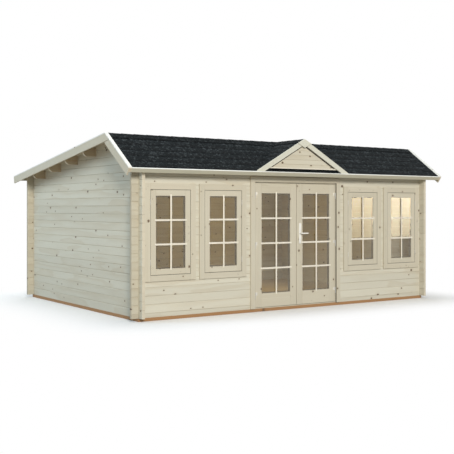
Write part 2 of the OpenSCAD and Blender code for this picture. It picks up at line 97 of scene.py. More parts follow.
class ShedColours(bpy.types.PropertyGroup):
    """Colours of the shed's finishes, as linear RGB."""

    def colour(name, description, default):
        return FloatVectorProperty(
            name=name, description=description, default=default, subtype="COLOR", min=0, max=1
        )

    log_pale: colour("Log, early wood", "Main colour of the wall logs", (0.66, 0.62, 0.495))
    log_late: colour("Log, late wood", "Colour of the growth lines in the logs", (0.52, 0.43, 0.29))
    trim_pale: colour("Trim, early wood", "Main colour of boards, frames and doors", (0.615, 0.562, 0.435))
    trim_late: colour("Trim, late wood", "Colour of the growth lines in the trim", (0.50, 0.415, 0.275))
    dormer_pale: colour("Dormer, early wood", "Colour of the dormer's boards and plate", (0.66, 0.64, 0.525))
    # The fascias are darker to paint the shade on their downward-tilted faces
    fascia_pale: colour("Fascia, early wood", "Main colour of the fascias", (0.53, 0.505, 0.385))
    # The strips are pale to paint the highlight on their lit top faces
    strip_pale: colour("Strip, early wood", "Colour of the strips on the roof's edges", (0.80, 0.785, 0.72))
    # The bars are pale to paint the highlight on their lit faces
    bar_pale: colour("Bar, early wood", "Main colour of the glazing bars", (0.83, 0.775, 0.65))
    floor_pale: colour("Floor and deck", "Main colour of floor and roof boards", (0.60, 0.51, 0.36))
    beam_pale: colour("Beam, early wood", "Main colour of the treated sole beams", (0.40, 0.22, 0.10))
    beam_late: colour("Beam, late wood", "Colour of the growth lines in the beams", (0.24, 0.11, 0.045))
    knot: colour("Knot", "Colour of a knot's heart", (0.06, 0.036, 0.022))
    felt: colour("Felt", "Mean colour of the roof's mineral face", (0.0055, 0.008, 0.009))
    felt_chip: colour("Felt chip", "Colour of its palest mineral chips", (0.058, 0.066, 0.068))
    # The seals are dark strips put where there is only shade: painted shade
    seal: colour("Seal", "Colour of the seals around the sashes", (0.05, 0.042, 0.03))
    pane_seal: colour("Pane seal", "Colour of the seals around the panes", (0.25, 0.2, 0.135))
    zinc: colour("Zinc", "Colour of the hinges and screws", (0.68, 0.66, 0.61))
    handle: colour("Handle", "Colour of the coated handle", (0.84, 0.81, 0.73))
    glass: colour("Glass", "Tint of the panes", (0.93, 0.96, 0.94))


class ShedSizes(bpy.types.PropertyGroup):
    """Sizes of the pieces that dress the shed."""

    def length(name, description, default):
        return FloatProperty(name=name, description=description, default=default, unit="LENGTH", min=0)

    log_height: length("Log height", "Height that one log adds to a wall", 0.114)
    infill_board: length("Infill board", "Height of one board of the dormer's infill", 0.068)
    plate_edge: length("Plate edge", "Chamfer around the dormer's plate", 0.006)
    verge_board: length("Verge board", "Width of a verge board", 0.106)
    verge_gap: length("Verge gap", "Gap between the verge boards at the ridge", 0.006)
    # The sill paints a highlight along the infill's lower edge, and the infill seal paints shade along the
    # dormer's boards
    sill_height: length("Sill height", "Height of the strip along the foot of the infill", 0.016)
    infill_seal: length("Infill seal", "Width of the seal along the dormer's boards", 0.021)
    infill_seal_drop: length("Infill seal drop", "Distance of that seal below the infill's edge", 0.034)
    infill_seal_foot: length("Infill seal foot", "Length of the infill's edge below that seal", 0.13)
    infill_seal_head: length("Infill seal head", "Length of the infill's edge above that seal", 0.0305)
    # The eave strip is pale wood on top of a fascia: a painted highlight
    strip_width: length("Eave strip width", "Width of the strip on top of a fascia", 0.023)
    strip_rise: length("Eave strip", "Thickness of the strip on top of a fascia", 0.0025)
    eased_edge: length("Eased edge", "Rounding along the edges of planed boards", 0.0018)
    floor_board: length("Floor board", "Width of a floor board", 0.112)
    deck_board: length("Roof board", "Width of a roof board", 0.1)
    board_gap: length("Board gap", "Shadow gap between neighbouring boards", 0.0012)
    window_frame: length("Window frame", "Width of the frame around a sash", 0.0405)
    sash_gap: length("Sash gap", "Gap left around a sash", 0.005)
    sash_bar: length("Sash member", "Width of a sash member", 0.085)
    sash_width: length("Sash width", "Width of a sash", 0.627)
    window_casing: length("Window board", "Width of the boards around a window", 0.082)
    door_casing: length("Door board", "Width of the boards around the door", 0.076)
    # The casing seal is a thin dark lining of painted shade on the boards' inner sides
    casing_seal: length("Casing seal", "Thickness of the seal on the door boards' inner sides", 0.001)
    leaf_stile: length("Leaf stile", "Width of a door stile", 0.114)
    leaf_top: length("Leaf top rail", "Height of the top rail", 0.148)
    leaf_foot: length("Leaf bottom rail", "Height of the bottom rail", 0.200)
    bar_width: length("Bar width", "Width of a glazing bar", 0.026)
    bar_proud: length("Bar thickness", "Thickness of a glazing bar ahead of the sash", 0.007)
    bar_lap: length("Bar lap", "Length of a bar's end that laps the sash", 0.022)
    # The pane seal is a dark strip of painted shade at the edges of a pane
    pane_seal: length("Pane seal", "Width of the seal behind a pane", 0.011)
    pane_seal_set: length("Pane seal set", "Distance of that seal from a sash's inner face", 0.006)
    shingle_course: length("Shingle course", "Height of a course of shingles", 0.14)
    shingle_tab: length("Shingle tab", "Width of a shingle tab", 0.333)
    shingle_rise: length("Shingle rise", "Thickness of a tab's lower edge", 0.0055)
    shingle_slot: length("Shingle slot", "Width of the slot between tabs", 0.005)
    shingle_lift: length("Shingle lift", "Gap between a tab and the felt", 0.0008)
    shingle_lap: length("Shingle lap", "Length of a tab that the next one covers", 0.03)
    shingle_edge: length("Shingle edge", "Gap between the shingles and a verge strip", 0.002)
    shingle_least: length("Least shingle", "Width under which a tab is left out", 0.03)
    shingle_nose: length("Shingle nose", "Length of the slant along a tab's lower edge", 0.002)
    cap_reach: length("Cap reach", "Width of a ridge cap on each slope", 0.11)
    cap_step: length("Cap step", "Distance from cap to cap", 0.2)
    cap_rise: length("Cap rise", "Thickness of a cap, and its height over the felt", 0.004)
    cap_tilt: length("Cap tilt", "Rise of a cap over the next one", 0.0035)
    screw_radius: length("Screw head", "Radius of a screw head", 0.0042)
    wing_height: length("Hinge wing", "Height of a hinge's wing on a leaf", 0.0445)
    window_rows: IntProperty(name="Window rows", description="Rows of panes in a window", default=3, min=1)
    door_rows: IntProperty(name="Door rows", description="Rows of panes in a door leaf", default=4, min=1)


# Shader graphs


class Graph:
    """Adds nodes to a shader tree, linking sockets and setting plain values."""

    def __init__(self, tree):
        self.tree = tree

    def feed(self, socket, value):
        if isinstance(value, bpy.types.NodeSocket):
            self.tree.links.new(value, socket)
        else:
            socket.default_value = value

    def feed_all(self, sockets, values):
        for name, value in values.items():
            self.feed(sockets[name], value)

    def add(self, kind, inputs=None, **settings):
        made = self.tree.nodes.new(kind)
        for name, value in settings.items():
            setattr(made, name, value)
        self.feed_all(made.inputs, inputs or {})
        return made

    def first(self, made, values):
        """Feeds a node's sockets in their order and gives its first output."""
        self.feed_all(made.inputs, dict(enumerate(values)))
        return made.outputs[0]

    def math(self, operation, *values, clamp=False):
        return self.first(self.add("ShaderNodeMath", operation=operation, use_clamp=clamp), values)

    def vector(self, operation, *values):
        return self.first(self.add("ShaderNodeVectorMath", operation=operation), values)

    def mix(self, factor, first, second, blend="MIX"):
        inputs = {0: factor, 6: first, 7: second}
        return self.add("ShaderNodeMix", data_type="RGBA", blend_type=blend, inputs=inputs).outputs[2]

    def ramp(self, value, low, high, to_low=0.0, to_high=1.0, smooth=False):
        made = self.add("ShaderNodeMapRange", interpolation_type="SMOOTHSTEP" if smooth else "LINEAR")
        return self.first(made, (value, low, high, to_low, to_high))

    def noise(self, place, scale, detail=2.0, stretch=None):
        if stretch:
            place = self.vector("MULTIPLY", place, stretch)
        made = self.add("ShaderNodeTexNoise", {"Vector": place, "Scale": scale, "Detail": detail})
        return made.outputs["Fac"]

    def cells(self, place, scale, dimensions="3D"):
        inputs = {"Vector": place, "Scale": scale}
        return self.add("ShaderNodeTexVoronoi", inputs, voronoi_dimensions=dimensions).outputs

    def axes(self, vector):
        return self.add("ShaderNodeSeparateXYZ", {"Vector": vector}).outputs

    def channels(self, colour):
        return self.add("ShaderNodeSeparateColor", {"Color": colour}).outputs

    def grey(self, value):
        return self.add("ShaderNodeCombineColor", {"Red": value, "Green": value, "Blue": value}).outputs[0]

    def place(self):
        """Places on a piece, in its own frame."""
        return self.add("ShaderNodeTexCoord").outputs["Object"]

    def attribute(self, name, output):
        return self.add("ShaderNodeAttribute", attribute_name=name).outputs[output]

    def bump(self, strength, distance, height):
        inputs = {"Strength": strength, "Distance": distance, "Height": height}
        return self.add("ShaderNodeBump", inputs).outputs["Normal"]

    def shade(self, inputs):
        """Feeds the material's shader."""
        self.feed_all(self.tree.nodes["Principled BSDF"].inputs, inputs)

    def show(self, shader):
        """Puts another shader in the place of the material's own."""
        self.feed(self.tree.nodes["Material Output"].inputs["Surface"], shader)


def rgba(colour):
    return (*colour, 1.0)


def finish(name, fill):
    """The material of a name, which a function fills in when it is first asked for."""
    made = bpy.data.materials.get(name)
    if made is None:
        made = bpy.data.materials.new(name)
        made.use_nodes = True
        fill(Graph(made.node_tree))
    return made


def surface_group(name, inputs, fill):
    """The node group of a name, which a function fills in when it is first asked for."""
    tree = bpy.data.node_groups.get(name)
    if tree is None:
        tree = bpy.data.node_groups.new(name, "ShaderNodeTree")
        outputs = {"Color": "Color", "Roughness": "Float", "Height": "Float"}
        for in_out, sockets in (("INPUT", inputs), ("OUTPUT", outputs)):
            for label, kind in sockets.items():
                tree.interface.new_socket(label, in_out=in_out, socket_type="NodeSocket" + kind)
        g = Graph(tree)
        given = tree.nodes.new("NodeGroupInput").outputs
        g.feed_all(tree.nodes.new("NodeGroupOutput").inputs, fill(g, given))
    return tree


def surface(g, name, fill, kinds, values, strength, distance, specular):
    """Feeds a group's colour, roughness and relief into the material's shader."""
    group = surface_group(name, kinds, fill)
    made = g.add("ShaderNodeGroup", dict(zip(kinds, values)), node_tree=group).outputs
    g.shade({
        "Base Color": made["Color"], "Roughness": made["Roughness"],
        "Normal": g.bump(strength, distance, made["Height"]), "Specular IOR Level": specular,
    })


def spruce(g, given):
    """Growth rings, fibre and knots of a board whose grain runs along the X of its place."""
    # Each board is cut from another part of a tree
    lot = g.add("ShaderNodeTexWhiteNoise", {"W": given["Seed"]}, noise_dimensions="1D").outputs
    shift = g.vector("MULTIPLY_ADD", lot["Color"], (40, 0.12, 0.07), (-20, -0.06, 0.025))
    place = g.vector("ADD", given["Place"], shift)
    cells = g.cells(g.vector("MULTIPLY", place, (0.8, 1, 1)), 6.5, "2D")
    draw = g.channels(cells["Color"])
    is_knot = g.math("LESS_THAN", draw[0], given["Knots"])
    size = g.math("MULTIPLY_ADD", g.math("POWER", draw[1], 1.5), 0.065, 0.045)
    near = g.math("DIVIDE", cells["Distance"], size)
    core = g.math("MULTIPLY", g.ramp(near, 1.2, 0.85), is_knot)
    swirl = g.math("MULTIPLY", g.ramp(near, 5.0, 0.6, smooth=True), is_knot)
    bend = g.math("SUBTRACT", g.noise(place, 1.0, 2.0, (0.7, 5, 5)), 0.5)
    axes = g.axes(place)
    across = g.math("MULTIPLY_ADD", bend, 0.03, g.math("MULTIPLY_ADD", swirl, 0.009, axes["Y"]))
    depth = g.math("MULTIPLY_ADD", bend, 0.02, axes["Z"])
    squares = [g.math("MULTIPLY", side, side) for side in (across, depth)]
    ring = g.math("FRACT", g.math("DIVIDE", g.math("SQRT", g.math("ADD", *squares)), 0.0064))
    late = g.math("MULTIPLY", g.ramp(ring, 0.3, 0.93, smooth=True), g.ramp(ring, 1.0, 0.94))
    broad = g.noise(place, 1.0, 3.0, (0.8, 7, 7))
    fibre = g.noise(place, 1.0, 2.0, (9, 260, 260))
    figure = g.math("MULTIPLY_ADD", late, 0.26, g.math("MULTIPLY_ADD", broad, 0.6, -0.26), clamp=True)
    colour = g.mix(figure, given["Pale"], given["Late"])
    tone = g.math("MULTIPLY_ADD", lot["Value"], 0.08, g.math("MULTIPLY_ADD", fibre, 0.1, 0.91))
    colour = g.mix(1.0, colour, g.grey(tone), "MULTIPLY")
    colour = g.mix(g.math("MULTIPLY", g.math("MULTIPLY", swirl, swirl), 0.35), colour, given["Late"])
    colour = g.mix(given["End"], colour, g.mix(1.0, colour, given["Cut"], "MULTIPLY"))
    knotty = g.mix(core, colour, g.mix(g.ramp(near, 0.2, 0.9), KNOT_HEART, given["Knot"]))
    raised = g.math("MULTIPLY_ADD", late, 0.45, g.math("MULTIPLY", fibre, 0.4))
    return {
        # The joint input darkens the joint lines and the painted shade beyond the corners
        "Color": g.mix(given["Joint"], knotty, g.mix(1.0, knotty, JOINT_SHADE, "MULTIPLY")),
        "Roughness": g.math("MULTIPLY_ADD", core, -0.12, g.math("MULTIPLY_ADD", fibre, 0.18, 0.5)),
        "Height": g.math("MULTIPLY_ADD", core, 0.6, raised),
    }


def mineral(g, given):
    """Mineral chips and weathering of roofing felt, darkened by each tab's tone, which carries painted shade
    along the courses' lower edges.
    """
    chips, grit = (g.channels(g.cells(given["Place"], scale)["Color"])[0] for scale in (420.0, 48.0))
    patch = g.noise(given["Place"], 32.0, 4.0)
    streak = g.noise(given["Place"], 1.0, 3.0, (9, 1.4, 1.4))
    chip = g.math("MULTIPLY", g.math("POWER", chips, 3.0), g.math("MULTIPLY_ADD", patch, 0.6, -0.05))
    pale = g.math("ADD", chip, g.ramp(grit, 0.72, 1.0, 0.0, 0.85), clamp=True)
    worn = g.math("MULTIPLY_ADD", patch, 1.6, g.math("MULTIPLY_ADD", streak, 0.4, -0.8))
    # The tone carries each tab's own tone and the painted shade along its lower edge
    weather = g.math("ADD", worn, g.math("ADD", given["Tone"], 0.8))
    return {
        "Color": g.mix(1.0, g.mix(pale, given["Dark"], given["Chip"]), g.grey(weather), "MULTIPLY"),
        "Roughness": g.math("MULTIPLY_ADD", chips, -0.14, 0.95),
        "Height": g.math("MULTIPLY_ADD", patch, 0.4, chips),
    }


def finish_wood(g, place, seed, end, knots, colours, joint, cut):
    """Feeds the spruce group into a material's shader, with a tint for its sawn ends, which on the purlins is
    a painted highlight.
    """
    kinds = {
        "Place": "Vector", "Seed": "Float", "End": "Float", "Knots": "Float", "Joint": "Float",
        "Pale": "Color", "Late": "Color", "Knot": "Color", "Cut": "Color",
    }
    values = (place, seed, end, knots, joint, *(rgba(colour) for colour in (*colours, cut)))
    surface(g, "spruce", spruce, kinds, values, 0.35, 0.0012, 0.3)


def wood(context, name):
    """Wood of separate boards, each with its own grain direction and seed."""
    def fill(g):
        c = context.scene.shed_colours
        pale, late, knots, cut = WOODS[name]
        marks = [g.attribute(*a) for a in (("grain", "Vector"), ("board", "Fac"), ("end", "Fac"))]
        finish_wood(g, *marks, knots, (getattr(c, pale), getattr(c, late), c.knot), 0.0, cut)

    return finish(name, fill)


def stacked_wood(name, colours, knots, axis, first_joint, height, first_seed, corner=10.0, cut=FRESH_CUT):
    """Wood of stacked logs or boards, whose seeds change at each joint, with painted shade beyond the
    corners.
    """
    def fill(g):
        texture = g.add("ShaderNodeTexCoord").outputs
        place, facing = g.axes(texture["Object"]), g.axes(texture["Normal"])
        along, depth = ("X", "Y") if axis == "X" else ("Y", "X")
        level = g.math("DIVIDE", g.math("SUBTRACT", place["Z"], first_joint), height)
        across = g.math("MULTIPLY", g.math("FRACT", level), height)
        grain = g.add("ShaderNodeCombineXYZ", {"X": place[along], "Y": across, "Z": place[depth]}).outputs[0]
        # Opposite walls are built from different logs
        wall = g.math("MULTIPLY", g.math("SIGN", place[depth]), 57.0)
        seed = g.math("ADD", g.math("FLOOR", level), g.math("ADD", wall, first_seed))
        end = g.math("GREATER_THAN", g.math("ABSOLUTE", facing[along]), 0.9)
        # The tongue shows as a dark line at the bottom of each V joint, where the joint is a little open
        nearest = g.math("MINIMUM", across, g.math("SUBTRACT", height, across))
        run = g.add("ShaderNodeCombineXYZ", {"X": place[along], "Y": g.math("ROUND", level)}).outputs[0]
        slack = g.ramp(g.noise(run, 1.0, 2.0, (0.9, 3.7, 1.0)), 0.4, 0.66, 0.05, 0.8)
        # Painted shade: beyond the corners, where the log ends stand out from the walls, the wood is darkened
        # as if in shade
        worn = g.ramp(g.math("ABSOLUTE", place[along]), corner, corner + 0.001, 0.0, 0.42)
        # The joint mask carries both the dark joint lines and that painted shade
        joint = g.math("MAXIMUM", g.math("MULTIPLY", g.ramp(nearest, 0.0032, 0.0012), slack), worn)
        finish_wood(g, grain, seed, end, knots, colours, joint, cut)

    return finish(name, fill)


def felt(context):
    def fill(g):
        c = context.scene.shed_colours
        kinds = {"Place": "Vector", "Tone": "Float", "Dark": "Color", "Chip": "Color"}
        values = (g.place(), g.attribute("tone", "Fac"), rgba(c.felt), rgba(c.felt_chip))
        surface(g, "mineral felt", mineral, kinds, values, 0.5, 0.0015, 0.15)

    return finish("mineral felt", fill)


def glass(context):
    """Clear glass that lets lamp light through to the room."""
    def fill(g):
        shadow = g.add("ShaderNodeLightPath").outputs["Is Shadow Ray"]
        g.shade({
            "Base Color": rgba(context.scene.shed_colours.glass), "Transmission Weight": 1.0, "IOR": 1.5,
            "Roughness": g.ramp(g.noise(g.place(), 5.0, 3.0), 0.45, 0.8, 0.0, 0.05),
            "Alpha": g.math("MULTIPLY_ADD", shadow, -0.85, 1.0),
        })

    return finish("window glass", fill)


def rubber(context, part="seal"):
    """Rubber in the colour of a part's seals, dark strips that paint the shade in gaps and along edges."""
    def fill(g):
        g.shade({
            "Base Color": rgba(getattr(context.scene.shed_colours, part)),
            "Roughness": g.ramp(g.noise(g.place(), 90.0, 2.0), 0.3, 0.7, 0.6, 0.8),
        })

    return finish("rubber " + part, fill)


def zinc(context):
    def fill(g):
        spangle = g.noise(g.place(), 160.0, 3.0)
        bright, dull = rgba(context.scene.shed_colours.zinc), (0.40, 0.39, 0.37, 1.0)
        g.shade({
            "Base Color": g.mix(g.ramp(spangle, 0.3, 0.7, 0.0, 0.35), bright, dull), "Metallic": 1.0,
            "Roughness": g.ramp(spangle, 0.3, 0.7, 0.3, 0.48),
        })

    return finish("zinc", fill)


def white_coat(context):
    def fill(g):
        place = g.place()
        peel = g.noise(place, 700.0, 2.0)
        clean, handled = rgba(context.scene.shed_colours.handle), (0.78, 0.75, 0.67, 1.0)
        g.shade({
            "Base Color": g.mix(g.noise(place, 30.0, 3.0), clean, handled),
            "Roughness": g.ramp(peel, 0.3, 0.7, 0.28, 0.4), "Normal": g.bump(0.15, 0.0003, peel),
        })

    return finish("white coat", fill)


def paint_nodes(material, *names):
    """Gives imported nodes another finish."""
    for name in names:
        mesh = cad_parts[name].data
        mesh.materials.clear()
        mesh.materials.append(material)


# Boards


def packed_mesh(node):
    """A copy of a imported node's mesh, without edges inside its flat faces."""
    bm = bmesh.new()
    bm.from_mesh(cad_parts[node].data)
    bmesh.ops.remove_doubles(bm, verts=bm.verts, dist=1e-5)
    bmesh.ops.dissolve_limit(bm, angle_limit=0.01, verts=bm.verts, edges=bm.edges)
    return bm


def ease_edges(bm, angle, offset, segments):
    """Rounds the edges that are sharper than an angle."""
    sharp = [e for e in bm.edges if len(e.link_faces) == 2 and e.calc_face_angle(0.0) > angle]
    bmesh.ops.bevel(
        bm, geom=sharp, offset=offset, segments=segments, profile=0.5, affect="EDGES", clamp_overlap=True
    )


class Timber:
    """Collects boards into one mesh, each with its own grain direction and seed."""

    boards_made = 0

    def __init__(self, ease, end_facing=0.8):
        self.ease, self.end_facing = ease, end_facing
        self.points, self.faces = [], []
        self.grain, self.seeds, self.ends = [], [], []

    def take(self, bm, along, across):
        """Eases the edges of one solid and adds it, with its grain along the given direction."""
        bm.normal_update()
        ease_edges(bm, 0.3, self.ease, 2)
        bm.normal_update()
        bm.verts.index_update()
        along = along.normalized()
        across = (across - along * across.dot(along)).normalized()
        depth = along.cross(across)
        middle = sum((v.co for v in bm.verts), Vector()) / len(bm.verts)
        first = len(self.points)
        Timber.boards_made += 1
        for v in bm.verts:
            p = v.co - middle
            self.points.append(tuple(v.co))
            self.grain.extend((p.dot(along), p.dot(across), p.dot(depth)))
            self.seeds.append(float(Timber.boards_made))
        for f in bm.faces:
            self.faces.append([first + v.index for v in f.verts])
            self.ends.append(1.0 if abs(f.normal.dot(along)) > self.end_facing else 0.0)
        bm.free()

    def board(self, low, high, along):
        """A straight board between two corners."""
        low, high = Vector(low), Vector(high)
        size = high - low
        bm = bmesh.new()
        bmesh.ops.create_cube(bm, size=1.0)
        for v in bm.verts:
            v.co = low + Vector(((v.co[i] + 0.5) * size[i] for i in range(3)))
        rest = [axis for axis in (X, Y, Z) if axis != along]
        self.take(bm, along, max(rest, key=lambda axis: size.dot(axis)))

    def prism(self, outline, start, end, along, across):
        """A board with the given outline of (y, z) points, between two places along X."""
        bm = bmesh.new()
        near = [bm.verts.new((start, *p)) for p in outline]
        away = [bm.verts.new((end, *p)) for p in outline]
        bm.faces.new(near)
        bm.faces.new(away)
        for i in range(len(outline)):
            j = (i + 1) % len(outline)
            bm.faces.new((near[i], near[j], away[j], away[i]))
        bmesh.ops.recalc_face_normals(bm, faces=bm.faces)
        self.take(bm, along, across)

    def bar(self, start, end, across, depth):
        """A straight bar between two points, as wide and deep as two sideways vectors."""
        bm = bmesh.new()
        zero = Vector()
        made = [bm.verts.new(p + w + d) for p in (start, end) for w in (zero, across) for d in (zero, depth)]
        for ring in ((0, 1, 3, 2), (4, 5, 7, 6), (0, 1, 5, 4), (2, 3, 7, 6), (0, 2, 6, 4), (1, 3, 7, 5)):
            bm.faces.new([made[i] for i in ring])
        bmesh.ops.recalc_face_normals(bm, faces=bm.faces)
        self.take(bm, end - start, across)

    def solids(self, node):
        """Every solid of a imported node, with its grain along its longest edge."""
        whole = packed_mesh(node)
        # Dicts keep their order, so that each run gives every board the same seed
        found = {}
        for first in whole.verts:
            if first in found:
                continue
            island, edge = {}, [first]
            while edge:
                v = edge.pop()
                island[v] = None
                edge.extend(o for e in v.link_edges for o in e.verts if o not in island)
            found.update(island)
            part = bmesh.new()
            copies = {v: part.verts.new(v.co) for v in island}
            for f in dict.fromkeys(f for v in island for f in v.link_faces):
                part.faces.new([copies[v] for v in f.verts])
            part.normal_update()
            longest = max(part.edges, key=lambda e: e.calc_length())
            along = longest.verts[0].co - longest.verts[1].co
            broadest = max(part.faces, key=lambda f: f.calc_area())
            self.take(part, along, broadest.normal.cross(along))
        whole.free()

    def build(self, name, material, slot, body, *nodes):
        """Makes the mesh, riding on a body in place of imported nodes."""
        mesh = bpy.data.meshes.new(name)
        mesh.from_pydata(self.points, [], self.faces)
        mesh.attributes.new("grain", "FLOAT_VECTOR", "POINT").data.foreach_set("vector", self.grain)
        mesh.attributes.new("board", "FLOAT", "POINT").data.foreach_set("value", self.seeds)
        mesh.attributes.new("end", "FLOAT", "FACE").data.foreach_set("value", self.ends)
        return place_piece(mesh, material, slot, body, *nodes)


def place_piece(mesh, material, slot, body, *nodes):
    """Puts a mesh in the scene as a piece of the shed."""
    mesh.materials.append(material)
    piece = bpy.data.objects.new(mesh.name, mesh)
    bpy.context.scene.collection.objects.link(piece)
    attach(piece, body)
    if nodes:
        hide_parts(*nodes)
    return piece


def mesh_of(bm, name):
    mesh = bpy.data.meshes.new(name)
    bm.to_mesh(mesh)
    bm.free()
    return mesh


# Roof lines


class Slope:
    """One slope of the main roof, with points given by distance up it and out from its covering."""

    def __init__(self, eave):
        self.eave = eave
        run = RIDGE - eave
        self.length = run.length
        self.up = run.normalized()
        self.out = Vector((-self.up.y, self.up.x)) if self.up.x > 0 else Vector((self.up.y, -self.up.x))

    def at(self, up, out):
        return self.eave + self.up * up + self.out * out

    def place(self, x, up, out):
        y, z = self.at(up, out)
        return Vector((x, y, z))

    def direction(self):
        return Vector((0, *self.up))


FRONT, BACK = Slope(FRONT_EAVE), Slope(BACK_EAVE)
SLOPES = {"front": FRONT, "back": BACK}


def crossing(front_out, back_out):
    """Where lines at a distance out from each slope's covering meet."""
    a, b = FRONT.at(0, front_out), BACK.at(0, back_out)
    rise_a, rise_b = FRONT.up.y / FRONT.up.x, BACK.up.y / BACK.up.x
    y = (b.y - a.y + rise_a * a.x - rise_b * b.x) / (rise_a - rise_b)
    return Vector((y, a.y + rise_a * (y - a.x)))


# Operators, one for each group of pieces


def board_spans(low, high, width, gap):
    """Starts and ends of boards of about the given width, side by side with gaps."""
    count = round((high - low) / width)
    width = (high - low) / count
    starts = [low + i * width for i in range(count)]
    return [(start + gap / 2, start + width - gap / 2) for start in starts]


class LogWalls(bpy.types.Operator):
    """Finish the log walls, purlins and dormer boarding"""

    bl_idname = "shed.log_walls"
    bl_label = "Log walls"

    def execute(self, context):
        c, s = context.scene.shed_colours, context.scene.shed_sizes
        logs, trim = (c.log_pale, c.log_late, c.knot), (c.trim_pale, c.trim_late, c.knot)
        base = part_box("front_wall_left")[0].z
        # The long walls' log ends beyond the right wall's outer face take painted shade
        long_logs = stacked_wood(
            "spruce logs, long walls", logs, 0.36, "X", base - s.log_height / 2, s.log_height, 3.0,
            corner=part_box("right_wall")[1].x, cut=(0.9, 0.87, 0.84),
        )
        side_logs = stacked_wood("spruce logs, side walls", logs, 0.28, "Y", base, s.log_height, 200.0)
        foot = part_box("dormer_infill")[0].z
        infill = stacked_wood("spruce infill", trim, 0.4, "X", foot, s.infill_board, 400.0)
        paint_nodes(long_logs, "front_wall_left", "front_wall_right", "front_wall_over_door", "back_wall")
        paint_nodes(side_logs, "left_wall", "right_wall")
        paint_nodes(infill, "dormer_infill")
        # The purlins' brown wood is painted shade on their sides; end_facing flags their rounded ends too,
        # which the bright end tint paints as lit
        timber = Timber(s.eased_edge, end_facing=0.2)
        timber.solids("purlins")
        timber.build("purlin_beams", wood(context, "spruce purlins"), "log_wood", "shed", "purlins")
        return {"FINISHED"}


class Base(bpy.types.Operator):
    """Make the treated sole beams and the floor boards"""

    bl_idname = "shed.base"
    bl_label = "Beams and floor"

    def execute(self, context):
        s = context.scene.shed_sizes
        for node in ("long_beams", "cross_beams"):
            timber = Timber(s.eased_edge * 1.5)
            timber.solids(node)
            timber.build("treated_" + node, wood(context, "treated spruce"), "beam_wood", "shed", node)
        low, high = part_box("floor_boards")
        timber = Timber(s.eased_edge)
        for start, end in board_spans(low.y, high.y, s.floor_board, s.board_gap):
            timber.board((low.x, start, low.z), (high.x, end, high.z), X)
        timber.build("floor_planks", wood(context, "spruce planks"), "floor_wood", "shed", "floor_boards")
        return {"FINISHED"}


class RoofDeck(bpy.types.Operator):
    """Make the boards under the roof covering"""

    bl_idname = "shed.roof_deck"
    bl_label = "Roof boards"

    # Lower edge of the boards, up from the eave, and their faces, out from the covering
    FOOT, UNDER, TOP = 0.0253, -0.024, -0.0052

    def execute(self, context):
        s = context.scene.shed_sizes
        planks = wood(context, "spruce planks")
        ridge = [crossing(out, out) for out in (self.UNDER, self.TOP)]
        for name, slope in SLOPES.items():
            node = "roof_boards_" + name
            low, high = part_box(node)
            outline = [slope.at(self.FOOT, self.UNDER), *ridge, slope.at(self.FOOT, self.TOP)]
            timber = Timber(s.eased_edge)
            for start, end in board_spans(low.x, high.x, s.deck_board, s.board_gap):
                timber.prism(outline, start, end, slope.direction(), X)
            timber.build("deck_planks_" + name, planks, "board_wood", "shed", node)
        timber = Timber(s.eased_edge)
        timber.solids("dormer_roof")
        timber.build("dormer_deck", planks, "board_wood", "shed", "dormer_roof")
        return {"FINISHED"}


